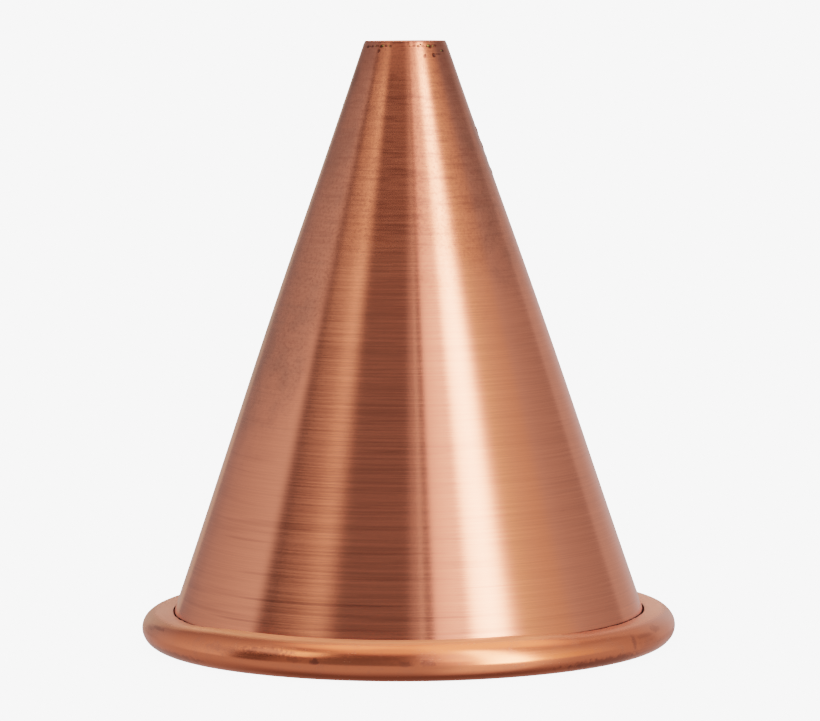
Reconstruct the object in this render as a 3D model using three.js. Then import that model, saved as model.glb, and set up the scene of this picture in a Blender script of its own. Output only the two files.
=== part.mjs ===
// A bar jigger: one conical copper measure with a rolled rim, standing mouth down, as it is kept on a bar.
// Millimetres, +Z up. The origin is the centre of the mouth, on the surface that the rim stands on.
// The cone and its rim are one spun sheet. The rim rolls outwards round a wire, and the small end is
// closed by a thin disc that is brazed on from the inside and filed flush with the cone.

import * as THREE from "three";

// Driving dimensions.
const rimRadius = 28.5; // outside of the rolled rim
const height = 64; // from the mouth to the flat small end
const endRadius = 4.3; // outside of the small end
const sheet = 0.8; // thickness of the cone's copper sheet
const discThickness = 0.55;
const wireRadius = 0.92; // wire inside the rolled rim
const brazeGap = 0.05; // clearance that the braze fills between two pieces

// The rolled rim is an oval, a little wider than it is high, worn to a narrow flat that it stands on.
const rollHalfWidth = 2;
const rollHalfHeight = 1.83;
const rollStep = THREE.MathUtils.degToRad(12);
const rollSteps = 26; // they carry the roll round until the sheet's free edge is close to the wall
const standingFlat = 1.5 * rollStep; // half of the turn that is worn flat
const rollCentreRadius = rimRadius - rollHalfWidth;
const rollCentreHeight = rollHalfHeight * Math.cos(standingFlat);

// The wall's outer surface runs from the small end to its foot, where the free edge meets it.
const footRadius = 25.05;
const footHeight = 3.4;
const bendHeight = 4; // where the wall starts to turn down into the roll
const belly = 0.14; // how far the wall swells at mid height
const waist = 0.04; // how far a second, shorter wave draws it in

// The fillet of braze in the corner between the disc and the wall.
const filletLeg = 0.9;

// How finely round shapes are cut.
const turnSteps = 64;
const wallSteps = 7;
const bendSteps = 3;
const filletSteps = 4;
const wireSides = 12;

const wallTop = height - discThickness - brazeGap;
const wallSlope = (footRadius - endRadius) / (height - footHeight);
const sheetAcross = sheet * Math.hypot(1, wallSlope); // the sheet's thickness measured along the radius

// Radius of the wall's outer surface at height z.
function wallRadius(z) {
  const down = (height - z) / (height - footHeight);
  const wave = belly * Math.sin(Math.PI * down) - waist * Math.sin(3 * Math.PI * down);
  return endRadius + (footRadius - endRadius) * down + wave;
}

// Turns a profile of (radius, height) points round the Z axis.
function turned(profile) {
  const geometry = new THREE.LatheGeometry(profile, turnSteps);
  return geometry.rotateX(Math.PI / 2);
}

// The middle of the sheet, from the small end down the wall and round the roll: points with their tangents.
function sheetMiddle() {
  const middle = [];
  const middleRadius = (z) => wallRadius(z) - sheetAcross / 2;
  const wall = new THREE.SplineCurve(
    Array.from({ length: wallSteps }, (_, i) => {
      const z = THREE.MathUtils.lerp(wallTop, bendHeight, i / (wallSteps - 1));
      return new THREE.Vector2(middleRadius(z), z);
    }),
  );
  const roll = new THREE.EllipseCurve(
    rollCentreRadius,
    rollCentreHeight,
    rollHalfWidth - sheet / 2,
    rollHalfHeight - sheet / 2,
    Math.PI,
    Math.PI + rollStep * rollSteps,
  );
  const start = wall.getPoint(1);
  const end = roll.getPoint(0);
  const drop = (start.y - end.y) / 3;
  const bend = new THREE.CubicBezierCurve(
    start,
    start.clone().add(wall.getTangent(1).multiplyScalar(drop)),
    new THREE.Vector2(end.x, end.y + drop),
    end,
  );
  for (const [curve, steps] of [
    [wall, wallSteps - 1],
    [bend, bendSteps],
    [roll, rollSteps],
  ]) {
    for (let i = middle.length ? 1 : 0; i <= steps; i++) {
      middle.push({ point: curve.getPoint(i / steps), tangent: curve.getTangent(i / steps) });
    }
  }
  return middle;
}

// The cone and its rolled rim: the middle line thickened to both faces of the sheet.
function coneBody() {
  const outerFace = []; // the wall's outside, then the hollow of the roll
  const innerFace = []; // the wall's inside, then the outside of the roll
  for (const { point, tangent } of sheetMiddle()) {
    const across = new THREE.Vector2(-tangent.y, tangent.x).multiplyScalar(sheet / 2);
    outerFace.push(point.clone().add(across));
    innerFace.push(point.clone().sub(across));
  }
  outerFace[0].y = wallTop; // the small end is cut square
  innerFace[0].y = wallTop;
  for (const point of innerFace) {
    point.y = Math.max(point.y, 0);
  }
  return turned([...innerFace, ...outerFace.reverse(), innerFace[0].clone()]);
}

// The disc that closes the small end, its edge filed to the cone's slope and eased at the top.
function endDisc() {
  const underside = height - discThickness;
  const ease = 0.1;
  return turned([
    new THREE.Vector2(0, underside),
    new THREE.Vector2(wallRadius(underside), underside),
    new THREE.Vector2(wallRadius(height - ease), height - ease),
    new THREE.Vector2(endRadius - ease, height),
    new THREE.Vector2(0, height),
  ]);
}

// A ring of braze with a hollow face, in the corner under the disc.
function brazeFillet() {
  const top = height - discThickness - brazeGap;
  const innerRadius = (z) => wallRadius(z) - sheetAcross - brazeGap;
  const foot = new THREE.Vector2(innerRadius(top - filletLeg), top - filletLeg);
  const corner = new THREE.Vector2(innerRadius(top), top);
  const tip = new THREE.Vector2(innerRadius(top) - filletLeg, top);
  const hollow = new THREE.QuadraticBezierCurve(tip, corner.clone().lerp(foot, 0.35), foot);
  return turned([foot, corner, ...hollow.getPoints(filletSteps)]);
}

// A ring of wire, open by a hair where its two ends butt.
class WireLine extends THREE.Curve {
  getPoint(t) {
    const buttGap = 0.5 / rollCentreRadius;
    const angle = THREE.MathUtils.lerp(buttGap / 2, 2 * Math.PI - buttGap / 2, t) + Math.PI / 2;
    return new THREE.Vector3(
      rollCentreRadius * Math.cos(angle),
      rollCentreRadius * Math.sin(angle),
      rollCentreHeight,
    );
  }
}

function rimWire() {
  const section = new THREE.Shape().absarc(0, 0, wireRadius, 0, 2 * Math.PI);
  return new THREE.ExtrudeGeometry(section, {
    curveSegments: wireSides / 2,
    steps: turnSteps,
    extrudePath: new WireLine(),
  });
}

const copperSheet = new THREE.MeshStandardMaterial({ color: 0xc47a56, roughness: 0.35, metalness: 1 });
const copperWire = new THREE.MeshStandardMaterial({ color: 0xb5694a, roughness: 0.45, metalness: 1 });
const brazeAlloy = new THREE.MeshStandardMaterial({ color: 0xc2a05a, roughness: 0.5, metalness: 1 });

const jigger = new THREE.Group();
for (const [name, geometry, material] of [
  ["cone_body", coneBody(), copperSheet],
  ["end_disc", endDisc(), copperSheet],
  ["braze_fillet", brazeFillet(), brazeAlloy],
  ["rim_wire", rimWire(), copperWire],
]) {
  const mesh = new THREE.Mesh(geometry, material);
  mesh.name = name;
  jigger.add(mesh);
}

export default jigger;
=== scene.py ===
"""The looks of a bar jigger: one spun copper measure that stands mouth down on its rolled rim."""

import math
from types import SimpleNamespace

import bmesh
import bpy
from mathutils import Matrix, Vector, noise


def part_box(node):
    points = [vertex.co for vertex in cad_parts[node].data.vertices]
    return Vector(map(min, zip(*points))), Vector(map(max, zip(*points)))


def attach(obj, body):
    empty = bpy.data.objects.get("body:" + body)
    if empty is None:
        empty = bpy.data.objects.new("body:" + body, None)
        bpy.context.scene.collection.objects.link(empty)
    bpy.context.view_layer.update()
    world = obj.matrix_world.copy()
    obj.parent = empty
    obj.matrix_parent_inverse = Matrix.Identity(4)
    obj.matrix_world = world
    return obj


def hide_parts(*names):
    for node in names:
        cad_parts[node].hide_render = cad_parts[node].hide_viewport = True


bl_info = {
    "name": "Bar Jigger",
    "version": (1, 0, 0),
    "blender": (4, 5, 0),
    "location": "3D View > Sidebar > Jigger",
    "description": "Builds a spun copper bar measure with a rolled rim, and the studio round it",
    "category": "Add Mesh",
}

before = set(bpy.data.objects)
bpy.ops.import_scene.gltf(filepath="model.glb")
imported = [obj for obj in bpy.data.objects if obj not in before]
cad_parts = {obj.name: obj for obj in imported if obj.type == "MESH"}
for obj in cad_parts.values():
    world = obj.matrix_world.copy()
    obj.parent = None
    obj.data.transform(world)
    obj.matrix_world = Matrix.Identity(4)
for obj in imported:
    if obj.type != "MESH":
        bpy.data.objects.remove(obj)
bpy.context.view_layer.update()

MM = 0.001
FULL_TURN = 2 * math.pi
BODY = "root"

CONE_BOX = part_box("cone_body")
DISC_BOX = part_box("end_disc")
BRAZE_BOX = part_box("braze_fillet")


# === Sizes, finishes and light that a user would change ===


def maker(kind, **fixed):
    """A function that makes one kind of property from a name, a description and a default."""

    def make(name, description, default):
        return kind(name=name, description=description, default=default, **fixed)

    return make


length = maker(bpy.props.FloatProperty, unit="LENGTH", precision=5)
rotation = maker(bpy.props.FloatProperty, unit="ROTATION")
share = maker(bpy.props.FloatProperty, min=0, max=1, subtype="FACTOR")
strength = maker(bpy.props.FloatProperty, min=0)
number = maker(bpy.props.FloatProperty, precision=5)
place_of = maker(bpy.props.FloatVectorProperty, subtype="XYZ")
colour = maker(bpy.props.FloatVectorProperty, size=3, subtype="COLOR", min=0)
count = maker(bpy.props.IntProperty, min=3)


def angle(name, description, degrees):
    return rotation(name, description, math.radians(degrees))


class ConeSizes(bpy.types.PropertyGroup):
    """Sizes of the cone and its rolled rim, which are one sheet."""

    height: length("Height", "From the mouth to the flat small end", DISC_BOX[1].z)
    wall_top: length("Wall top", "Where the wall meets the end disc", CONE_BOX[1].z)
    rim_radius: length("Rim radius", "Outside of the rolled rim", CONE_BOX[1].x)
    end_radius: length("End radius", "Outside of the small end", 4.3 * MM)
    sheet: length("Sheet", "Thickness of the copper", 0.8 * MM)
    foot_radius: length("Foot radius", "Outside of the wall at the rim", 25.05 * MM)
    foot_height: length("Foot height", "Where the rolled edge meets the wall", 3.4 * MM)
    bend_height: length("Bend height", "Where the wall turns down into the roll", 4 * MM)
    belly: length("Belly", "How far the wall swells at mid height", 0.14 * MM)
    waist: length("Waist", "How far a second, shorter wave draws it in", 0.04 * MM)
    roll_half_width: length("Roll half width", "Half the width of the rolled rim", 2 * MM)
    roll_half_height: length("Roll half height", "Half the height of the roll", 1.83 * MM)
    roll_turn: angle("Roll turn", "How far round the sheet is rolled", 312)
    standing_flat: angle("Standing flat", "Half of the turn that is worn flat", 18)
    wall_wander: length("Wall wander", "How far the wall strays from true", 0.02 * MM)
    roll_wander: length("Roll wander", "How far the rolled rim strays from true", 0.07 * MM)
    seam_gap: length("Seam gap", "How far the rolled edge stands off in places", 0.16 * MM)
    edge_rag: length("Edge rag", "How ragged the rolled edge was cut", 0.07 * MM)
    crown_lift: length("Crown lift", "How much higher the roll is where it was pressed", 0.36 * MM)
    edge_droop: length("Edge droop", "How far the rolled edge lies below the crown", 0.16 * MM)
    crown_share: share("Crown", "Share of the roll's turn at its highest point", 0.8654)
    turns: count("Columns", "Faces round the cone", 300)
    wall_rows: count("Wall rows", "Faces down the outside of the wall", 130)
    roll_rows: count("Roll rows", "Faces round the rolled rim", 96)


class CopperFinish(bpy.types.PropertyGroup):
    """Colour and finish of the copper, the braze and the dirt."""

    copper: colour("Copper", "Clean copper of the wall", (0.85, 0.234, 0.136))
    # Brown is also the colour of the painted shade on the wall's flanks.
    brown: colour("Brown", "Copper that has darkened with handling", (0.5, 0.165, 0.105))
    toned: colour("Toned", "Copper that has turned a deeper orange", (0.77, 0.2, 0.11))
    rim: colour("Rim", "Burnished copper of the rolled rim", (0.86, 0.195, 0.094))
    # Painted highlight: the pale colour laid along the seam on the rim's shelf in front.
    seam_highlight: colour("Burnished", "Copper rubbed bright along the seam", (0.72, 0.26, 0.125))
    # Painted sheen: the pale colour laid on the left and right ends of the rim.
    end_sheen: colour("Bloom", "Pale bloom on the ends of the rim", (0.9, 0.5, 0.4))
    dulled: colour("Dulled", "Copper gone dull on top of the rim", (0.32, 0.15, 0.1))
    inside: colour("Inside", "Dull copper inside the cone", (0.62, 0.19, 0.11))
    edge_tint: colour("Edge tint", "Copper seen at a glancing angle", (1, 0.82, 0.77))
    braze: colour("Braze", "Brass-coloured braze", (0.17, 0.13, 0.035))
    # Grime is also used for painted shade: on the wall's flanks near the tip, and in two of the rim marks.
    grime: colour("Grime", "Oxide between the grains of the copper", (0.3, 0.085, 0.055))
    # Dirt is also painted into the open seam, where it stands for the shade in the gap as well.
    dirt: colour("Dirt", "Dirt and oxide in the seam", (0.03, 0.012, 0.008))
    wall_gloss: share("Wall roughness", "Roughness of the wall along its slope", 0.21)
    worn_gloss: share("Worn roughness", "Roughness near the small end", 0.25)
    rim_gloss: share("Rim roughness", "Roughness of the rolled rim", 0.2)
    wall_grain: share("Wall grain", "How strongly the spinning lines stretch the light", 0.97)
    patina_height: length("Patina height", "Where handling has darkened the wall from", 40 * MM)


class StudioLight(bpy.types.PropertyGroup):
    """Strengths of the light that the studio gives."""

    backdrop: strength("Backdrop", "Brightness of the pale floor and wall", 5.21)
    overhead: strength("Overhead", "Brightness of the ceiling", 1.4)
    overhead_left: strength("Overhead left", "Brightness of the skylight", 2.4)
    low_floor: strength("Floor near", "What the copper sees of the floor far off", 0.58)
    overhead_glare: strength("Overhead glare", "What the key lamp adds to the ceiling", 1.3)
    floor_glare: strength("Floor glare", "What the key lamp adds to the floor", 0.8)
    deep_floor: strength("Floor below", "What the copper sees of the floor under it", 0.16)
    flag_lamp: strength("Flag lamp", "Brightness of the lamp over the left flag", 2.4)
    board_lamp: strength("Board lamp", "Brightness of the lamp over the warm board", 3.6)
    back_window: strength("Back window", "Brightness of the window behind", 5)


class CameraPlace(bpy.types.PropertyGroup):
    """Where the camera stands and how it is held."""

    place: place_of("Place", "Where it stands", (0, -0.4322, 0.0684))
    pitch: angle("Pitch", "How far it looks down", 5.075)
    roll: angle("Roll", "How far it is tipped", -0.344)
    lens: number("Lens", "Focal length in millimetres", 178.8)
    shift: number("Shift", "Sideways shift of the lens", 0.00356)


SETTINGS = {
    "jigger_cone": ConeSizes,
    "jigger_finish": CopperFinish,
    "jigger_light": StudioLight,
    "jigger_camera": CameraPlace,
}


# === Shader nodes ===


def shader_node(tree, kind, inputs=(), **settings):
    """Adds a node. Inputs come in order or by name, as numbers, colours or sockets."""
    made = tree.nodes.new("ShaderNode" + kind)
    for name, value in settings.items():
        setattr(made, name, value)
    pairs = inputs.items() if isinstance(inputs, dict) else enumerate(inputs)
    for key, value in pairs:
        if isinstance(value, bpy.types.NodeSocket):
            tree.links.new(value, made.inputs[key])
        else:
            made.inputs[key].default_value = value
    return made


def sums(tree, operation, *inputs):
    return shader_node(tree, "Math", inputs, operation=operation).outputs[0]


def times(tree, first, *others):
    for other in others:
        first = sums(tree, "MULTIPLY", first, other)
    return first


def plus(tree, first, *others):
    for other in others:
        first = sums(tree, "ADD", first, other)
    return first


def scaled(tree, value, slope, start):
    return sums(tree, "MULTIPLY_ADD", value, slope, start)


def degrees_from(tree, azimuth, middle):
    """How many degrees an azimuth lies to either side of the middle."""
    return sums(tree, "ABSOLUTE", plus(tree, azimuth, -middle))


def vectors(tree, operation, *inputs):
    made = shader_node(tree, "VectorMath", inputs, operation=operation)
    return made.outputs["Value" if operation == "LENGTH" else "Vector"]


def scale_colour(tree, tone, amount):
    inputs = {0: tone, "Scale": amount}
    return shader_node(tree, "VectorMath", inputs, operation="SCALE").outputs["Vector"]


def grey(tree, level):
    return shader_node(tree, "CombineXYZ", (level, level, level)).outputs[0]


def spread(tree, value, low, high, to_low=0, to_high=1, kind="LINEAR"):
    """Spreads low..high over to_low..to_high, held at the ends."""
    inputs = (value, low, high, to_low, to_high)
    return shader_node(tree, "MapRange", inputs, interpolation_type=kind, clamp=True).outputs[0]


def rising(tree, value, low, high, to_low=0, to_high=1):
    """The same as spread, with an eased start and end."""
    return spread(tree, value, low, high, to_low, to_high, "SMOOTHSTEP")


def falling(tree, value, low, high):
    """1 below low, 0 above high, and eased between."""
    return rising(tree, value, low, high, 1, 0)


def window(tree, value, opens, opened, closes, closed):
    """1 from opened to closes, 0 before opens and after closed, and eased between."""
    return times(tree, rising(tree, value, opens, opened), falling(tree, value, closes, closed))


def mix(tree, factor, first, second, mode="MIX"):
    """Mixes two colours, each a socket or three numbers."""
    pair = [tone if isinstance(tone, bpy.types.NodeSocket) else (*tone, 1) for tone in (first, second)]
    inputs = {0: factor, 6: pair[0], 7: pair[1]}
    made = shader_node(tree, "Mix", inputs, data_type="RGBA", blend_type=mode, clamp_factor=True)
    return made.outputs[2]


def cover(tree, base, tone, *amounts):
    """Lays a colour over a base, as strongly as the amounts multiplied together."""
    return mix(tree, times(tree, *amounts), base, tone)


def grey_noise(tree, vector, scale, detail=2, rough=0.5):
    inputs = {"Vector": vector, "Scale": scale, "Detail": detail, "Roughness": rough}
    return shader_node(tree, "TexNoise", inputs).outputs[0]


def bump(tree, height, depth):
    """Relief of this depth in mm."""
    inputs = {"Strength": 1, "Distance": depth * MM, "Height": height}
    return shader_node(tree, "Bump", inputs).outputs[0]


def round_coordinates(tree):
    """Where a point lies. Its height and its distance from the axis are in mm, its azimuth in degrees."""
    place = shader_node(tree, "TexCoord").outputs["Object"]
    parts = shader_node(tree, "SeparateXYZ", (place,)).outputs
    flat = shader_node(tree, "CombineXYZ", (parts[0], parts[1], 0)).outputs[0]
    azimuth = sums(tree, "ARCTAN2", parts[0], times(tree, parts[1], -1))
    return SimpleNamespace(
        place=place,
        height=times(tree, parts[2], 1 / MM),
        ring=vectors(tree, "NORMALIZE", flat),
        radius=times(tree, vectors(tree, "LENGTH", flat), 1 / MM),
        degrees=sums(tree, "DEGREES", azimuth),
    )


def ring_noise(tree, where, round_scale, height_scale, detail=2, rough=0.5, tilt=0):
    """Noise that is stretched round the axis. Tilt makes it climb as it goes round."""
    ring = shader_node(tree, "SeparateXYZ", (where.ring,)).outputs
    across = times(tree, ring[0], round_scale)
    along = times(tree, ring[1], round_scale)
    height = scaled(tree, ring[0], tilt, times(tree, where.height, height_scale))
    vector = shader_node(tree, "CombineXYZ", (across, along, height)).outputs[0]
    return grey_noise(tree, vector, 1, detail, rough)


def marks(tree, where, table, ragged):
    """Where small marks lie: rows of degrees round, height, half width in degrees, half height, strength."""
    spot = shader_node(tree, "CombineXYZ", (where.degrees, where.height, 0)).outputs[0]
    found = 0
    for degrees, height, wide, tall, amount in table:
        offset = vectors(tree, "SUBTRACT", spot, (degrees, height, 0))
        sized = vectors(tree, "MULTIPLY", offset, (1 / wide, 1 / tall, 0))
        away = plus(tree, vectors(tree, "LENGTH", sized), ragged)
        found = sums(tree, "MAXIMUM", found, rising(tree, away, 0.5, 1.3, amount, 0))
    return found


def new_material(name):
    """A material with an empty node tree, the tree, and where the points it colours lie."""
    material = bpy.data.materials.new(name)
    material.use_nodes = True
    tree = material.node_tree
    tree.nodes.clear()
    return material, tree, round_coordinates(tree)


def finish_material(tree, base, rough, normal, more=()):
    """Puts the surface shader on a material. It is a metal, unless more says otherwise."""
    settings = {"Base Color": base, "Metallic": 1, "Roughness": rough, "Normal": normal, **dict(more)}
    surface = shader_node(tree, "BsdfPrincipled", settings)
    tree.links.new(surface.outputs[0], shader_node(tree, "OutputMaterial").inputs[0])


# === Materials ===

# Azimuths in degrees: the middle of the arc where the rolled edge is pressed home, and of the front, to
# either side of which the wall gets painted shade.
SEAM_MIDDLE = -14
FRONT_MIDDLE = 1

# Marks on the wall: degrees round, height in mm, half width in degrees, half height in mm, strength.
WALL_DIRT = (
    (38.5, 62.5, 3.2, 0.24, 1),
    (46, 62.6, 6, 0.1, 0.6),
    (25, 62.4, 2.4, 0.2, 0.7),
    (-36.4, 63, 2.6, 0.18, 0.8),
    (-60, 63.4, 4, 0.16, 0.9),
    (-50, 63.45, 3, 0.14, 0.8),
    (-42, 63.5, 2.4, 0.14, 0.7),
    (-34, 63.45, 2.6, 0.18, 0.9),
    (-27, 63.5, 2.2, 0.14, 0.8),
    (-20, 63.45, 2.2, 0.13, 0.7),
    (12, 63.5, 2.4, 0.13, 0.6),
    (18, 63.45, 2.4, 0.16, 0.8),
    (24, 63.5, 2.2, 0.14, 0.7),
    (35, 63.4, 3, 0.22, 0.9),
    (45, 63.5, 2.4, 0.14, 0.7),
    (57, 62.95, 3, 0.15, 0.9),
    (-89, 57.3, 6, 0.35, 1),
    (74, 54.4, 5, 1.8, 0.3),
    (80, 51.4, 6, 2.6, 0.35),
    (88, 59.5, 8, 1, 0.5),
    (-74, 60.2, 12, 1.2, 0.35),
    (-84, 52, 5, 1.4, 0.35),
)
# Long dull tracks low on the wall.
WALL_TRACKS = (
    (-28, 7.1, 26, 0.16, 0.9),
    (-45, 4.9, 12, 0.14, 0.7),
    (-16, 4.7, 14, 0.18, 0.7),
    (-34, 9.6, 15, 0.12, 0.5),
    (-8, 12.3, 14, 0.1, 0.5),
    (8, 6, 14, 0.1, 0.45),
    (22, 8.8, 12, 0.08, 0.4),
    (-48, 12.8, 10, 0.12, 0.5),
    (40, 14.5, 12, 0.08, 0.4),
    (33, 23, 2.5, 0.12, 0.7),
    (50, 15.5, 1.6, 0.12, 0.7),
)
# Marks on the rim, in the same measures. The rows at -31 and -42 degrees are painted shade, laid over the
# highlight there.
RIM_MARKS_AND_SHADE = (
    (-19.6, 2.05, 0.9, 0.36, 1),
    (-24, 2.1, 1.5, 0.28, 0.5),
    (-0.8, 2, 1.4, 0.34, 0.55),
    (3.9, 2.05, 1.4, 0.34, 0.6),
    (-69, 2.9, 4, 0.16, 0.7),
    (-74, 2.6, 3, 0.2, 0.5),
    (55, 2.2, 0.8, 0.7, 0.7),
    (60, 2.5, 3, 0.3, 0.4),
    (66, 2.8, 2.5, 0.35, 0.5),
    (46, 0.72, 12, 0.5, 1),
    (62, 1.3, 6, 0.8, 0.3),
    (-62, 0.7, 14, 0.45, 0.8),
    (61, 0.8, 9, 0.1, 0.6),
    (57, 1.15, 9, 0.06, 0.5),
    (64, 1.5, 8, 0.06, 0.5),
    (-31, 2.72, 6, 0.34, 1),
    (-42, 2.5, 6, 0.3, 0.3),
)


def wall_lines(tree, where):
    """Lines that the spinning tool and the polishing left, from fine to coarse, and cloudy patches."""
    lines = SimpleNamespace(
        fine=ring_noise(tree, where, 1.6, 9, 3, 0.6),
        coarse=ring_noise(tree, where, 1.1, 2.6),
        bands=ring_noise(tree, where, 0.35, 0.42),
        grains=ring_noise(tree, where, 34, 3.6, rough=0.6),
        ripple=ring_noise(tree, where, 2.4, 2.3, rough=0.55),
        long=ring_noise(tree, where, 0.9, 1.1, 3, 0.6),
        clouds=grey_noise(tree, where.place, 260, 3, 0.6),
    )
    lines.streak = spread(tree, lines.fine, 0.38, 0.62)
    lines.mottle = spread(tree, lines.grains, 0.45, 0.72)
    return lines


def wall_wear(tree, where, lines, finish):
    """How much handling has browned the wall. It starts half way up, and lower down on the far left."""
    wander = scaled(tree, lines.clouds, 14, -7)
    left = rising(tree, where.degrees, -46, -36, 15, 0)
    level = plus(tree, where.height, wander, left)
    middle = finish.patina_height / MM
    return rising(tree, level, middle - 6, middle + 8)


def worn_copper(tree, where, lines, worn, finish):
    """Clean in front; a duller brown on the flanks, most of all at the tip. The browner, darker flanks to
    either side of the front are painted shade.
    """
    deep = rising(tree, lines.coarse, 0.56, 0.74)
    patch = rising(tree, lines.clouds, 0.42, 0.68)
    # Painted shade: the flanks to either side of the front are painted browner than the front, and near the
    # tip darker still.
    flank_shade = rising(tree, degrees_from(tree, where.degrees, FRONT_MIDDLE), 33, 49)
    tip = spread(tree, where.height, 46, 62)
    tone = mix(tree, flank_shade, finish.toned, finish.brown)
    stain = plus(tree, scaled(tree, patch, 0.35, 0.55), times(tree, tip, 0.3))
    stain = plus(tree, times(tree, worn, stain), times(tree, deep, 0.2))
    base = mix(tree, stain, finish.copper, tone)
    base = cover(tree, base, finish.grime, worn, lines.mottle, 0.45)
    base = cover(tree, base, finish.grime, tip, flank_shade, 0.36)
    shade = scaled(tree, lines.streak, 0.14, 0.9)
    return mix(tree, 1, base, grey(tree, shade), "MULTIPLY")


def marked_copper(tree, where, lines, base, finish):
    """Ripples high up, streaks and tracks low down, single marks, a dark lip, and the open seam painted near
    black: dirt, and painted shade in the gap.
    """
    high = rising(tree, where.height, 38, 46)
    near = spread(tree, degrees_from(tree, where.degrees, FRONT_MIDDLE), 40, 70, 1, 0.3)
    ripple = spread(tree, lines.ripple, 0.5, 0.66)
    base = cover(tree, base, finish.grime, ripple, high, near, 0.42)
    streaks = spread(tree, lines.long, 0.54, 0.68)
    lower = spread(tree, where.height, 10, 34, 0.27, 0.1)
    smoother = spread(tree, where.degrees, 18, 32, 1, 0.35)
    base = cover(tree, base, finish.grime, streaks, lower, smoother)
    tracks = marks(tree, where, WALL_TRACKS, scaled(tree, lines.long, 2.4, -1.2))
    base = cover(tree, base, finish.grime, tracks, smoother, 0.62)
    spots = marks(tree, where, WALL_DIRT, scaled(tree, lines.grains, 1.3, -0.65))
    base = cover(tree, base, finish.dirt, spots, 0.92)
    lip = rising(tree, where.height, 63.78, 63.9)
    base = cover(tree, base, finish.grime, lip, 0.85)
    # The open seam at the sides is painted near black: dirt, and painted shade in the gap behind the rolled
    # edge.
    sides = spread(tree, degrees_from(tree, where.degrees, SEAM_MIDDLE), 46, 56)
    seam_shade_and_dirt = falling(tree, where.height, 3.4, 3.56)
    return cover(tree, base, finish.dirt, seam_shade_and_dirt, sides, 0.95)


def spun_wall_material(finish):
    """Copper spun on a lathe: fine lines round the cone, browner and duller towards the small end."""
    material, tree, where = new_material("Spun copper wall")
    lines = wall_lines(tree, where)
    worn = wall_wear(tree, where, lines, finish)
    base = worn_copper(tree, where, lines, worn, finish)
    base = marked_copper(tree, where, lines, base, finish)
    rough = scaled(tree, worn, finish.worn_gloss - finish.wall_gloss, finish.wall_gloss)
    scuffed = rising(tree, where.height, 59.5, 62)
    rough = plus(
        tree,
        rough,
        scaled(tree, lines.streak, 0.05, -0.025),
        times(tree, worn, lines.mottle, 0.05),
        times(tree, scuffed, 0.1),
    )
    relief = plus(tree, lines.fine, times(tree, lines.coarse, 2), times(tree, lines.bands, 6))
    normal = bump(tree, relief, 0.003)
    stretch = {
        "Anisotropic": finish.wall_grain,
        "Anisotropic Rotation": 0.25,
        "Specular Tint": (*finish.edge_tint, 1),
        "Tangent": shader_node(tree, "Tangent", direction_type="RADIAL", axis="Z").outputs[0],
    }
    finish_material(tree, base, rough, normal, stretch)
    return material


def rolled_rim_material(finish):
    """Burnished copper of the roll: smooth, more orange, with dull blotches and fine scratches."""
    material, tree, where = new_material("Rolled copper rim")
    blotch = rising(tree, grey_noise(tree, where.place, 620, 4, 0.65), 0.5, 0.72)
    spots = spread(tree, grey_noise(tree, where.place, 2400), 0.6, 0.75)
    scratch = spread(tree, ring_noise(tree, where, 3, 7, tilt=3), 0.5, 0.72)
    dull = plus(tree, times(tree, blotch, 0.35), times(tree, spots, 0.25))
    base = mix(tree, dull, finish.rim, finish.brown)
    # The shelf behind the crown: a painted highlight in front, a pale colour for the bright line that light
    # makes along the seam; a duller copper at the sides; and the open seam painted near black, as dirt and
    # as painted shade in the gap.
    sides = spread(tree, degrees_from(tree, where.degrees, SEAM_MIDDLE), 42, 58)
    shelf_highlight_and_dull = times(
        tree,
        falling(tree, where.radius, 26.8, 27.6),
        spread(tree, where.height, 3, 3.2),
        scaled(tree, sides, -0.45, 1),
    )
    base = cover(tree, base, mix(tree, sides, finish.seam_highlight, finish.dulled), shelf_highlight_and_dull)
    # The rolled edge at the open seam is painted near black too: dirt, and painted shade in the gap.
    lip = falling(tree, where.radius, 25.2, 25.32)
    risen = spread(tree, where.height, 1.5, 2.5)
    base = cover(tree, base, finish.dirt, lip, risen, sides, 0.8)
    # The rim's ends, to left and right of the front, are painted paler on top: a painted sheen.
    ends = spread(tree, degrees_from(tree, where.degrees, 0), 58, 84)
    upper = spread(tree, where.height, 1.6, 3)
    base = cover(tree, base, finish.end_sheen, ends, upper, 0.6)
    ragged = scaled(tree, grey_noise(tree, where.place, 2200, 3, 0.6), 2.2, -1.1)
    # The rim marks, two of which are painted shade over the highlight.
    base = cover(tree, base, finish.grime, marks(tree, where, RIM_MARKS_AND_SHADE, ragged), 0.8)
    rough = scaled(tree, dull, 0.18, finish.rim_gloss)
    rough = plus(tree, rough, times(tree, shelf_highlight_and_dull, 0.2), times(tree, scratch, 0.06))
    more = {"Metallic": scaled(tree, shelf_highlight_and_dull, -0.75, 1), "Specular Tint": (*finish.edge_tint, 1)}
    finish_material(tree, base, rough, bump(tree, scratch, 0.0001), more)
    return material


def inside_material(finish):
    """Copper inside the cone and inside the roll, dull and brown with use."""
    material, tree, where = new_material("Dull copper inside")
    clouds = spread(tree, grey_noise(tree, where.place, 200, 4, 0.6), 0.35, 0.7)
    lines = ring_noise(tree, where, 1.2, 3.2, 3, 0.6)
    base = cover(tree, finish.inside, finish.brown, clouds, 0.6)
    finish_material(tree, base, scaled(tree, clouds, 0.12, 0.34), bump(tree, lines, 0.01))
    return material


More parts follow.
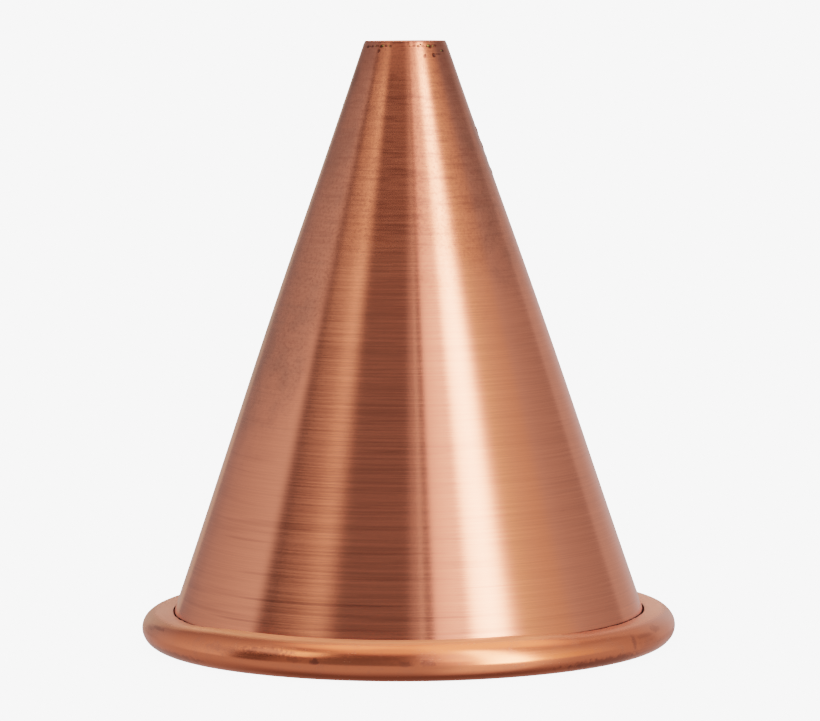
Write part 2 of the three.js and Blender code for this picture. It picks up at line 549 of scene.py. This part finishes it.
def filed_disc_material(finish):
    """Copper of the end disc, filed straight across and browned at its edge."""
    material, tree, where = new_material("Filed copper disc")
    turned = {"Vector": where.place, "Rotation": (0, 0, 0.6), "Scale": (500, 12000, 12000)}
    across = shader_node(tree, "Mapping", turned).outputs[0]
    filing = grey_noise(tree, across, 1, 3, 0.6)
    clouds = spread(tree, grey_noise(tree, where.place, 700, 3, 0.6), 0.4, 0.7)
    edge = rising(tree, where.radius, 3.9, 4.35)
    dull = plus(tree, times(tree, clouds, 0.4), times(tree, edge, 0.5))
    base = mix(tree, dull, finish.copper, finish.brown)
    finish_material(tree, base, scaled(tree, filing, 0.2, 0.42), bump(tree, filing, 0.012))
    return material


def braze_material(finish):
    """Brass-coloured braze, smooth where it flowed and dark with flux in its hollows."""
    material, tree, where = new_material("Flowed braze")
    flux = rising(tree, grey_noise(tree, where.place, 2600, 3, 0.6), 0.45, 0.66)
    pits = grey_noise(tree, where.place, 6000)
    base = mix(tree, flux, finish.braze, finish.dirt)
    finish_material(tree, base, scaled(tree, flux, 0.3, 0.24), bump(tree, pits, 0.02))
    return material


def dirt_material(finish):
    """Oxide and dirt packed into the seam's pits."""
    material, tree, where = new_material("Seam dirt")
    crumbs = grey_noise(tree, where.place, 7000, 2, 0.6)
    base = mix(tree, crumbs, finish.dirt, (0.16, 0.04, 0.02))
    rough = scaled(tree, crumbs, 0.3, 0.45)
    matt = {"Metallic": 0, "Specular IOR Level": 0.15}
    finish_material(tree, base, rough, bump(tree, crumbs, 0.03), matt)
    return material


def drawn_wire_material(finish):
    """Copper wire with the lines that the drawing die left round the ring."""
    material, tree, where = new_material("Drawn copper wire")
    lines = ring_noise(tree, where, 2, 9)
    base = cover(tree, finish.inside, finish.brown, lines, 0.6)
    finish_material(tree, base, scaled(tree, lines, 0.2, 0.25), bump(tree, lines, 0.01))
    return material


# === Meshes ===


def smoothly(value, low, high):
    """0 below low, 1 above high, and an even curve between."""
    along = min(max((value - low) / (high - low), 0), 1)
    return along * along * (3 - 2 * along)


def face_outward(mesh):
    """Turns every face so that its front is on the outside."""
    work = bmesh.new()
    work.from_mesh(mesh)
    bmesh.ops.recalc_face_normals(work, faces=work.faces)
    work.to_mesh(mesh)
    work.free()


def piece_from(name, points, faces, materials, indices=None):
    mesh = bpy.data.meshes.new(name)
    mesh.from_pydata(points, [], faces)
    for material in materials:
        mesh.materials.append(material)
    if indices is not None:
        mesh.polygons.foreach_set("material_index", indices)
    mesh.polygons.foreach_set("use_smooth", [True] * len(faces))
    mesh.update()
    face_outward(mesh)
    made = bpy.data.objects.new(name, mesh)
    bpy.context.scene.collection.objects.link(made)
    return made


def wall_radius(sizes, height):
    down = (sizes.height - height) / (sizes.height - sizes.foot_height)
    wave = sizes.belly * math.sin(math.pi * down) - sizes.waist * math.sin(3 * math.pi * down)
    return sizes.end_radius + (sizes.foot_radius - sizes.end_radius) * down + wave


def sheet_across(sizes):
    """The sheet's thickness measured along the radius."""
    slope = (sizes.foot_radius - sizes.end_radius) / (sizes.height - sizes.foot_height)
    return sizes.sheet * math.hypot(1, slope)


def wall_middle(sizes, share_down):
    """A point on the middle of the sheet's wall, and the way the wall runs there."""
    step = 0.05 * MM
    height = sizes.wall_top + (sizes.bend_height - sizes.wall_top) * share_down
    radius = wall_radius(sizes, height) - sheet_across(sizes) / 2
    run = wall_radius(sizes, height - step) - wall_radius(sizes, height + step)
    return Vector((radius, height)), Vector((run, -2 * step)).normalized()


def roll_middle(sizes, share_round):
    """A point on the middle of the sheet where it is rolled, and the way it runs there."""
    half_width = sizes.roll_half_width - sizes.sheet / 2
    half_height = sizes.roll_half_height - sizes.sheet / 2
    turn = math.pi + sizes.roll_turn * share_round
    out = sizes.rim_radius - sizes.roll_half_width
    centre = Vector((out, sizes.roll_half_height * math.cos(sizes.standing_flat)))
    point = centre + Vector((half_width * math.cos(turn), half_height * math.sin(turn)))
    way = Vector((-half_width * math.sin(turn), half_height * math.cos(turn)))
    return point, way.normalized()


def bezier(corners, along):
    """The point this far along the curve that the corners pull on."""
    while len(corners) > 1:
        corners = [here.lerp(there, along) for here, there in zip(corners, corners[1:])]
    return corners[0]


def bend_middle(sizes, share_down):
    """A point on the curve that joins the wall to the roll, and the way it runs there."""
    start, way = wall_middle(sizes, 1)
    end, _ = roll_middle(sizes, 0)
    drop = (start.y - end.y) / 3
    first = start + way * drop
    second = Vector((end.x, end.y + drop))
    point = bezier((start, first, second, end), share_down)
    way = bezier((first - start, second - first, end - second), share_down)
    return point, way.normalized()


def sheet_face(sizes, side, parts):
    """Rows down one face of the sheet. Parts are (name, curve, rows). Side is 1 outside, -1 inside."""
    rows = []
    for name, curve, steps in parts:
        for i in range(1 if rows else 0, steps + 1):
            along = i / steps
            point, way = curve(sizes, along)
            across = Vector((-way.y, way.x)) * side
            point = point + across * sizes.sheet / 2
            rows.append(SimpleNamespace(part=name, along=along, point=point, out=across))
    rows[0].point.y = DISC_BOX[0].z
    return rows


def cone_profile(sizes):
    """The closed section of the cone and its roll, as rows down the inside and back up the outside."""
    roll = ("roll", roll_middle, sizes.roll_rows)
    inner = sheet_face(sizes, -1, (("inside", wall_middle, 44), ("inside", bend_middle, 6), roll))
    wall = ("wall", wall_middle, sizes.wall_rows)
    outer = sheet_face(sizes, 1, (wall, ("foot", bend_middle, 8), ("hollow", roll_middle, 24)))
    for row in inner:
        row.point.y = max(row.point.y, 0)
    return inner + outer[::-1]


def pressed_home(azimuth):
    """How tightly the rolled edge is pressed to the wall at this azimuth, from 0 to 1."""
    degrees = math.degrees(math.atan2(math.sin(azimuth), math.cos(azimuth)))
    return smoothly(degrees, -66, -44) * (1 - smoothly(degrees, 24, 44))


def crown_shift(sizes, along, pressed, gap):
    """How far the top of the roll lies from a plain oval: flatter towards the wall, higher where pressed."""
    half_width = sizes.roll_half_width
    half_height = sizes.roll_half_height
    turn = math.pi + sizes.roll_turn * along
    lift = sizes.crown_lift * pressed
    if along <= sizes.crown_share:
        return Vector((0, lift * smoothly(math.degrees(turn), 375, 450)))
    plain = Vector((half_width * math.cos(turn), half_height * math.sin(turn)))
    crown = Vector((0, half_height + lift))
    droop = sizes.edge_droop * (1 - 0.4 * pressed)
    height = half_height * (1 + math.cos(sizes.standing_flat)) + lift - droop
    edge_radius = wall_radius(sizes, height) + 0.01 * MM + gap
    edge = Vector((edge_radius - sizes.rim_radius + half_width, crown.y - droop))
    corner = Vector((edge.x * 0.62, crown.y))
    share_in = (along - sizes.crown_share) / (1 - sizes.crown_share)
    return bezier((crown, corner, edge), share_in) - plain


def cone_shift(sizes, row, ring, azimuth):
    """How far a point of the cone strays from true, along the radius and up."""
    move = Vector((0, 0))
    point = row.point
    if row.part == "wall":
        slow = noise.noise(Vector((ring.x * 1.3, ring.y * 1.3, point.y * 60)))
        move += row.out * slow * sizes.wall_wander
    if row.part == "roll" and point.y > 0.02 * MM:
        slow = noise.noise(Vector((ring.x * 1.7, ring.y * 1.7, 3)))
        quick = noise.noise(Vector((ring.x * 7, ring.y * 7, point.y * 500)))
        settle = smoothly(point.y, 0, 0.8 * MM)
        move += row.out * (slow + 0.35 * quick) * sizes.roll_wander * settle
    # The rolled edge stands off the wall at the sides. At the front it was burnished up against it.
    pressed = pressed_home(azimuth)
    if row.part in {"roll", "hollow"}:
        tide = 0.5 + 0.5 * noise.noise(Vector((ring.x * 3, ring.y * 3, 9)))
        gap = sizes.seam_gap * (1 - pressed) * (0.3 + tide)
        move += crown_shift(sizes, row.along, pressed, gap)
        rag = noise.noise(Vector((ring.x * 26, ring.y * 26, 1)))
        rag += 0.5 * noise.noise(Vector((ring.x * 90, ring.y * 90, 2)))
        move.y += rag * sizes.edge_rag * (1 - pressed) * smoothly(row.along, 0.9, 1)
    return move


def band(first, second, sides):
    """The faces between two rings of points, given the first point of each ring."""
    beside = [*range(1, sides), 0]
    return [(first + k, second + k, second + beside[k], first + beside[k]) for k in range(sides)]


def lathe(name, rows, turns, materials, order, shift, closed=True):
    """Turns a section round the axis. Shift moves each point. A section that isn't closed gets a cap."""
    points = []
    for row in rows:
        for k in range(turns):
            azimuth = FULL_TURN * k / turns
            ring = Vector((math.sin(azimuth), -math.cos(azimuth)))
            place = row.point + shift(row, ring, azimuth)
            points.append((place.x * ring.x, place.x * ring.y, place.y))
    faces = []
    indices = []
    for i, row in enumerate(rows if closed else rows[:-1]):
        faces += band(i * turns, (i + 1) % len(rows) * turns, turns)
        indices += [order[row.part]] * turns
    if not closed:
        faces.append(tuple(range(len(points) - turns, len(points))))
        indices.append(order[rows[-1].part])
    return piece_from(name, points, faces, materials, indices)


def sharpen(made, degrees):
    """Smooth shading that breaks at edges sharper than this."""
    made.data.set_sharp_from_angle(angle=math.radians(degrees))


def ride(made, replaced):
    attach(made, BODY)
    if replaced:
        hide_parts(replaced)
    return made


# === Operators ===


class JiggerStep:
    """What the jigger's operators share"""

    bl_options = {"REGISTER", "UNDO"}


class JIGGER_OT_cone(JiggerStep, bpy.types.Operator):
    """Make the spun cone with its rolled rim"""

    bl_idname = "jigger.cone"
    bl_label = "Cone and rim"

    def execute(self, context):
        sizes = context.scene.jigger_cone
        finish = context.scene.jigger_finish
        made = lathe(
            "cone_and_rim",
            cone_profile(sizes),
            sizes.turns,
            [spun_wall_material(finish), rolled_rim_material(finish), inside_material(finish)],
            {"wall": 0, "foot": 0, "roll": 1, "inside": 2, "hollow": 2},
            lambda row, ring, azimuth: cone_shift(sizes, row, ring, azimuth),
        )
        sharpen(made, 40)
        ride(made, "cone_body")
        return {"FINISHED"}


class JIGGER_OT_disc(JiggerStep, bpy.types.Operator):
    """Make the disc that closes the small end"""

    bl_idname = "jigger.disc"
    bl_label = "End disc"

    turns = 180
    ease = 0.1 * MM
    file_depth = 0.06 * MM

    def execute(self, context):
        sizes = context.scene.jigger_cone
        finish = context.scene.jigger_finish
        reach = sizes.end_radius
        top = sizes.height
        bottom = DISC_BOX[0].z
        section = [("face", reach * out, bottom) for out in (0, 0.2, 0.4, 0.6, 0.8)]
        section += [("side", wall_radius(sizes, up), up) for up in (bottom, bottom + 0.2 * MM)]
        for step in range(7):
            turn = math.radians(15 * step)
            out = reach - self.ease + self.ease * math.cos(turn)
            up = top - self.ease + self.ease * math.sin(turn)
            section.append(("side" if step < 2 else "face", out, up))
        section += [("face", reach * out, top) for out in (0.85, 0.7, 0.55, 0.4, 0.25, 0.1)]

        def filed(row, ring, azimuth):
            radius, height = row.point
            file_mark = noise.noise(Vector((ring.x * 9, ring.y * 9, height * 2000)))
            near_edge = smoothly(radius, 0.9 * reach, reach)
            return Vector((-abs(file_mark) * self.file_depth * near_edge, 0))

        made = lathe(
            "end_disc_filed",
            [SimpleNamespace(part=part, point=Vector(point)) for part, *point in section],
            self.turns,
            [filed_disc_material(finish), spun_wall_material(finish)],
            {"face": 0, "side": 1},
            filed,
            closed=False,
        )
        merge_close(made)
        sharpen(made, 35)
        ride(made, "end_disc")
        return {"FINISHED"}


def merge_close(made):
    """Joins points that fall on the same spot, such as a ring shrunk to the axis."""
    work = bmesh.new()
    work.from_mesh(made.data)
    bmesh.ops.remove_doubles(work, verts=work.verts, dist=1e-7)
    bmesh.ops.dissolve_degenerate(work, edges=work.edges, dist=1e-8)
    work.to_mesh(made.data)
    work.free()
    face_outward(made.data)


# Where braze came through the seam: azimuth in degrees, then height, size across and size up in mm.
BRAZE_SPECKS = (
    (-32, 63.5, 0.36, 0.3),
    (-44, 63.48, 0.16, 0.14),
    (-22, 63.52, 0.18, 0.16),
    (6, 63.5, 0.14, 0.12),
    (17, 63.5, 0.2, 0.16),
    (21.5, 63.62, 0.22, 0.18),
    (32.6, 63.5, 0.5, 0.4),
    (40, 63.46, 0.24, 0.18),
    (54, 62.95, 0.2, 0.16),
    (112, 63.5, 0.34, 0.26),
    (150, 63.48, 0.26, 0.2),
    (-96, 63.5, 0.3, 0.24),
    (-138, 63.52, 0.4, 0.28),
)

# Pits and crumbs of oxide, most of them at the seam, measured the same way.
SEAM_PITS = (
    (-63, 63.4, 0.2, 0.16),
    (-55, 63.46, 0.18, 0.16),
    (-38.5, 63.5, 0.18, 0.2),
    (-31, 63.48, 0.14, 0.14),
    (-26, 63.46, 0.16, 0.18),
    (-19, 63.44, 0.14, 0.14),
    (-37, 62.85, 0.22, 0.18),
    (26, 62.55, 0.2, 0.18),
    (33.5, 63.44, 0.18, 0.16),
    (39.6, 62.5, 0.34, 0.24),
    (45, 62.58, 0.34, 0.1),
    (50, 62.64, 0.2, 0.08),
    (88, 63.44, 0.22, 0.2),
    (133, 63.4, 0.26, 0.2),
    (170, 63.46, 0.22, 0.18),
    (-118, 63.44, 0.24, 0.2),
    (82, 55.4, 0.2, 0.45),
    (85, 54.6, 0.34, 0.95),
    (87, 52.9, 0.26, 1.2),
    (85.5, 51.7, 0.22, 0.55),
    (88.5, 50.2, 0.3, 0.8),
    (-86, 57.3, 0.48, 0.22),
    (-81, 57.6, 0.3, 0.12),
)

SPECK_RINGS = 5
SPECK_SIDES = 12
SPECK_RISE = 0.18
SPECK_SUNK = 0.03 * MM
SPECK_LUMPS = 0.45


def speck_shape(sizes, degrees, height, across, up):
    """A low, lumpy drop on the cone's surface: its points and faces."""
    height, across, up = (size * MM for size in (height, across, up))
    azimuth = math.radians(degrees)
    radius = wall_radius(sizes, height)
    slope = math.atan2(sizes.foot_radius - sizes.end_radius, sizes.height - sizes.foot_height)
    out = Vector((math.sin(azimuth), -math.cos(azimuth), 0))
    side = Vector((math.cos(azimuth), math.sin(azimuth), 0))
    normal = out * math.cos(slope) + Vector((0, 0, 1)) * math.sin(slope)
    down = side.cross(normal)
    centre = out * radius + Vector((0, 0, height))
    rise = SPECK_RISE * min(across, up) + SPECK_SUNK
    points = [centre + normal * (rise - SPECK_SUNK)]
    for i in range(1, SPECK_RINGS + 1):
        reach = i / SPECK_RINGS
        for k in range(SPECK_SIDES):
            turn = FULL_TURN * k / SPECK_SIDES
            ring = Vector((math.cos(turn), math.sin(turn), degrees))
            lump = 1 + SPECK_LUMPS * noise.noise(ring * 1.7)
            flat = side * ring.x * across / 2 + down * ring.y * up / 2
            lift = normal * (rise * math.sqrt(1 - reach**2) - SPECK_SUNK)
            points.append(centre + flat * reach * lump + lift)
    faces = [(0, 1 + k, 1 + (k + 1) % SPECK_SIDES) for k in range(SPECK_SIDES)]
    for first in range(1, (SPECK_RINGS - 1) * SPECK_SIDES, SPECK_SIDES):
        faces += band(first, first + SPECK_SIDES, SPECK_SIDES)
    faces.append(tuple(range(len(points) - SPECK_SIDES, len(points))))
    return points, faces


def join_specks(name, shapes, material):
    points = []
    faces = []
    for shape_points, shape_faces in shapes:
        start = len(points)
        points += shape_points
        faces += [tuple(start + corner for corner in face) for face in shape_faces]
    made = piece_from(name, points, faces, [material])
    return ride(made, None)


class JIGGER_OT_braze(JiggerStep, bpy.types.Operator):
    """Make the fillet of braze inside and the specks that came through the seam"""

    bl_idname = "jigger.braze"
    bl_label = "Braze"

    turns = 120
    steps = 12
    gap = 0.05 * MM
    ripple_depth = 0.09 * MM

    def execute(self, context):
        sizes = context.scene.jigger_cone
        finish = context.scene.jigger_finish
        low = BRAZE_BOX[0].z
        top = BRAZE_BOX[1].z
        leg = top - low

        def inner(height):
            return wall_radius(sizes, height) - sheet_across(sizes) - self.gap

        foot = Vector((inner(low), low))
        corner = Vector((inner(top), top))
        tip = Vector((inner(top) - leg, top))
        hollow = corner.lerp(foot, 0.35)
        back = (foot, foot.lerp(corner, 0.5), corner, corner.lerp(tip, 0.5))
        rows = [SimpleNamespace(part="back", point=point, along=0) for point in back]
        for i in range(self.steps):
            along = i / self.steps
            point = bezier((tip, hollow, foot), along)
            rows.append(SimpleNamespace(part="face", point=point, along=along))
        rows.reverse()

        def flow(row, ring, azimuth):
            if row.part == "back":
                return Vector((0, 0))
            swell = math.sin(math.pi * row.along)
            ripple = noise.noise(Vector((ring.x * 4, ring.y * 4, row.along * 2)))
            return Vector((1, 1)) * (abs(ripple) * self.ripple_depth * swell)

        order = {"back": 0, "face": 0}
        braze = braze_material(finish)
        made = lathe("braze_fillet_flowed", rows, self.turns, [braze], order, flow)
        merge_close(made)
        ride(made, "braze_fillet")
        bright = [speck_shape(sizes, *speck) for speck in BRAZE_SPECKS]
        dark = [speck_shape(sizes, *speck) for speck in SEAM_PITS]
        join_specks("seam_braze_specks", bright, braze)
        join_specks("seam_dirt_specks", dark, dirt_material(finish))
        return {"FINISHED"}


class JIGGER_OT_wire(JiggerStep, bpy.types.Operator):
    """Give the wire inside the rolled rim its finish"""

    bl_idname = "jigger.wire"
    bl_label = "Rim wire"

    def execute(self, context):
        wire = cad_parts["rim_wire"]
        wire.data.materials.clear()
        wire.data.materials.append(drawn_wire_material(context.scene.jigger_finish))
        return {"FINISHED"}


# === Studio ===

TINTS = {
    "amber": (1.09, 0.865, 0.73),
    "plain": (1, 1, 1),
    "cool": (0.88, 1, 1),
    "warm": (1.06, 1, 0.9),
    "sandy": (1.04, 1, 0.83),
    "rosy": (1.35, 1, 0.8),
    "rosy pale": (1.06, 0.96, 1.02),
}

# What stands round the jigger, from behind it over its left to its right and round again: the
# azimuth in degrees where each thing begins (0 is the front, 90 the right), how soft that edge is,
# the brightness where it begins and ends, and its tint.
STUDIO_ROUND = (
    ("back wall, left", -180, 0, 0.36, 0.42, "rosy"),
    ("back panel, left", -168, 8, 0.52, 0.6, "sandy"),
    ("left corner", -155, 4, 0.3, 0.42, "plain"),
    ("left wall", -138, 8, 0.46, 0.68, "plain"),
    ("left window", -116, 10, 0.68, 1.06, "plain"),
    ("left flag", -83, 5, 0.12, 0.1, "cool"),
    ("warm board", -60, 14, 0.27, 0.32, "warm"),
    ("front flag", -42, 12, 0.2, 0.18, "cool"),
    ("front gap", 1, 5, 0.5, 0.58, "plain"),
    ("gap shadow", 4.6, 1, 0.34, 0.34, "plain"),
    ("gap glint", 5.9, 1, 1.4, 1.2, "plain"),
    ("gap edge", 8.5, 1.5, 0.26, 0.26, "plain"),
    ("key scrim", 13.4, 2.5, 2.45, 3.6, "rosy pale"),
    ("scrim fold", 27, 3, 2.6, 2.9, "rosy pale"),
    ("key lamp", 33, 6, 9, 15, "rosy pale"),
    ("key lamp end", 44, 5, 15, 10, "rosy pale"),
    ("key edge", 52, 7, 4.6, 2.3, "rosy pale"),
    ("right scrim", 59, 6, 1.7, 1.25, "sandy"),
    ("right wall", 70, 10, 1.2, 0.8, "warm"),
    ("far right wall", 90, 8, 0.76, 0.45, "plain"),
    ("right corner", 130, 4, 0.76, 0.66, "plain"),
    ("back wall, right", 169, 6, 0.5, 0.5, "rosy"),
)


def studio_walls(tree, azimuth, elevation):
    """The strips of STUDIO_ROUND side by side, fading upwards, with three darker places low down."""
    seen = None
    ends = [row[1] for row in STUDIO_ROUND[1:]] + [180]
    for (_, start, soft, first, last, tint), end in zip(STUDIO_ROUND, ends):
        strip = shader_node(tree, "MapRange", data_type="FLOAT_VECTOR", clamp=True)
        sockets = {socket.identifier: socket for socket in strip.inputs}
        tree.links.new(azimuth, sockets["Vector"])
        tone = Vector(TINTS[tint])
        limits = {"From_Min": [start] * 3, "From_Max": [end] * 3}
        limits |= {"To_Min": tone * first, "To_Max": tone * last}
        for side, value in limits.items():
            sockets[side + "_FLOAT3"].default_value = value
        here = strip.outputs["Vector"]
        if seen is None:
            seen = here
        else:
            seen = mix(tree, rising(tree, azimuth, start - soft / 2, start + soft / 2), seen, here)
    walls = scale_colour(tree, seen, spread(tree, elevation, 5, 50, 1.12, 0.7))

    # A dark board low on the right, a tan board before it, and a dark foot to the key scrim.
    board = window(tree, azimuth, 84, 104, 140, 160)
    walls = cover(tree, walls, (0, 0, 0), board, falling(tree, elevation, 12, 30), 0.18)
    tan = window(tree, azimuth, 46, 56, 80, 95)
    tan = times(tree, tan, falling(tree, elevation, 14, 26))
    walls = mix(tree, tan, walls, (0.97, 0.86, 0.73), "MULTIPLY")
    foot = window(tree, azimuth, 11, 14, 24, 32)
    return cover(tree, walls, (0.25, 0.2, 0.18), foot, falling(tree, elevation, 10, 24), 0.6)


def floor_glow(tree, light, azimuth, elevation):
    """The floor, which gets darker towards the foot of the jigger."""
    sideways = spread(tree, degrees_from(tree, azimuth, 0), 50, 90)
    lowered = scaled(tree, sideways, -22, elevation)
    level = spread(tree, lowered, -84, -44, light.deep_floor, light.low_floor)
    glare = window(tree, azimuth, 12, 24, 56, 72)
    glare = times(tree, glare, spread(tree, elevation, -75, -40))
    return grey(tree, scaled(tree, glare, light.floor_glare, level))


def ceiling_glow(tree, light, azimuth):
    """The ceiling, brighter over the left and over the key lamp."""
    left = window(tree, azimuth, -170, -150, -70, -50)
    level = scaled(tree, left, light.overhead_left - light.overhead, light.overhead)
    lit = window(tree, azimuth, 6, 26, 150, 175)
    return scale_colour(tree, TINTS["amber"], scaled(tree, lit, light.overhead_glare, level))


def ceiling_edge(tree, azimuth, elevation):
    """Where the ceiling takes over from the walls: lower in front and on the right."""
    front = spread(tree, degrees_from(tree, azimuth, -10), 30, 60, 8, 0)
    right = spread(tree, azimuth, 66, 82, 0, 13)
    right = times(tree, right, spread(tree, azimuth, 165, 178, 1, 0))
    return rising(tree, plus(tree, elevation, front, right), 58, 74)


def lamps_and_window(tree, light, azimuth, elevation, seen):
    """A warm lamp over the left flag and the warm board, and a window behind, higher on the right."""
    lamp = times(
        tree,
        rising(tree, azimuth, -66, -54, light.flag_lamp, light.board_lamp),
        window(tree, azimuth, -86, -80, -54, -40),
        window(tree, elevation, 31, 37, 46, 57),
    )
    seen = vectors(tree, "ADD", seen, scale_colour(tree, (1, 0.9, 0.76), lamp))
    right = rising(tree, azimuth, 160, 170)
    right = times(tree, right, window(tree, elevation, 36, 46, 64, 74), 0.6)
    left = falling(tree, azimuth, -171, -166)
    left = times(tree, left, window(tree, elevation, 26, 33, 56, 64), 0.5)
    behind = sums(tree, "MAXIMUM", right, left)
    return mix(tree, behind, seen, tuple(Vector(TINTS["amber"]) * light.back_window))


def studio_world(light):
    """What the copper sees round it, and the plain pale backdrop that the camera sees."""
    world = bpy.data.worlds.new("Studio")
    world.use_nodes = True
    tree = world.node_tree
    tree.nodes.clear()
    way = shader_node(tree, "TexCoord").outputs["Generated"]
    parts = shader_node(tree, "SeparateXYZ", (vectors(tree, "NORMALIZE", way),)).outputs
    azimuth = sums(tree, "DEGREES", sums(tree, "ARCTAN2", parts[0], times(tree, parts[1], -1)))
    elevation = sums(tree, "DEGREES", sums(tree, "ARCSINE", parts[2]))

    walls = studio_walls(tree, azimuth, elevation)
    above = rising(tree, elevation, -9, -4)
    seen = mix(tree, above, floor_glow(tree, light, azimuth, elevation), walls)
    ceiling = ceiling_glow(tree, light, azimuth)
    seen = mix(tree, ceiling_edge(tree, azimuth, elevation), seen, ceiling)
    seen = lamps_and_window(tree, light, azimuth, elevation, seen)

    lit = shader_node(tree, "Background", {"Color": seen, "Strength": 1})
    plain = shader_node(tree, "Background", {"Color": (1, 1, 1, 1), "Strength": light.backdrop})
    straight = shader_node(tree, "LightPath").outputs["Is Camera Ray"]
    both = shader_node(tree, "MixShader", (straight, lit.outputs[0], plain.outputs[0]))
    tree.links.new(both.outputs[0], shader_node(tree, "OutputWorld").inputs[0])
    return world


def floor_material(light):
    """A plain pale floor that glows evenly, with a painted contact shadow: a shade darker where the jigger
    stands on it.
    """
    material, tree, _ = new_material("Pale floor")
    # Painted contact shadow: the glow dims where ambient occlusion finds the jigger near.
    near = shader_node(tree, "AmbientOcclusion", {"Distance": 12 * MM}, samples=8).outputs["AO"]
    level = spread(tree, near, 0, 1, 0.9 * light.backdrop, light.backdrop)
    glow = shader_node(tree, "Emission", {"Color": (1, 1, 1, 1), "Strength": level})
    tree.links.new(glow.outputs[0], shader_node(tree, "OutputMaterial").inputs[0])
    return material


class JIGGER_OT_studio(JiggerStep, bpy.types.Operator):
    """Make the pale floor, the light round the jigger and the camera"""

    bl_idname = "jigger.studio"
    bl_label = "Studio"

    floor_size = 12
    sensor_width = 36
    nearest = 0.01

    def execute(self, context):
        scene = context.scene
        light = scene.jigger_light
        scene.world = studio_world(light)
        scene.view_settings.view_transform = "Filmic"
        scene.view_settings.look = "None"

        half = self.floor_size / 2
        corners = [(-half, -half, 0), (half, -half, 0), (half, half, 0), (-half, half, 0)]
        floor = piece_from("studio_floor", corners, [(0, 1, 2, 3)], [floor_material(light)])
        floor.visible_glossy = False
        floor.visible_diffuse = False
        floor.visible_shadow = False

        place = scene.jigger_camera
        camera = bpy.data.objects.new("camera", bpy.data.cameras.new("camera"))
        scene.collection.objects.link(camera)
        camera.data.lens = place.lens
        camera.data.sensor_width = self.sensor_width
        camera.data.shift_x = place.shift
        camera.data.clip_start = self.nearest
        camera.location = place.place
        aim = Matrix.Rotation(math.pi / 2 - place.pitch, 4, "X")
        tip = Matrix.Rotation(place.roll, 4, "Z")
        camera.rotation_euler = (aim @ tip).to_euler()
        scene.camera = camera
        return {"FINISHED"}


# === Panel and registration ===


class JIGGER_PT_bench(bpy.types.Panel):
    """Lists the pieces and the sizes that can be changed"""

    bl_label = "Bar Jigger"
    bl_idname = "JIGGER_PT_bench"
    bl_space_type = "VIEW_3D"
    bl_region_type = "UI"
    bl_category = "Jigger"

    def draw(self, context):
        layout = self.layout
        for operator in OPERATORS:
            layout.operator(operator.bl_idname)
        for name, group in SETTINGS.items():
            box = layout.box()
            box.label(text=group.__doc__)
            for key in group.__annotations__:
                box.prop(getattr(context.scene, name), key)


OPERATORS = (
    JIGGER_OT_studio,
    JIGGER_OT_cone,
    JIGGER_OT_disc,
    JIGGER_OT_braze,
    JIGGER_OT_wire,
)
CLASSES = (*SETTINGS.values(), *OPERATORS, JIGGER_PT_bench)


def register():
    for each in CLASSES:
        bpy.utils.register_class(each)
    for name, group in SETTINGS.items():
        setattr(bpy.types.Scene, name, bpy.props.PointerProperty(type=group))


def unregister():
    for name in SETTINGS:
        delattr(bpy.types.Scene, name)
    for each in reversed(CLASSES):
        bpy.utils.unregister_class(each)


def main():
    register()
    bpy.ops.jigger.studio()
    bpy.ops.jigger.cone()
    bpy.ops.jigger.disc()
    bpy.ops.jigger.braze()
    bpy.ops.jigger.wire()


if __name__ == "__main__":
    main()
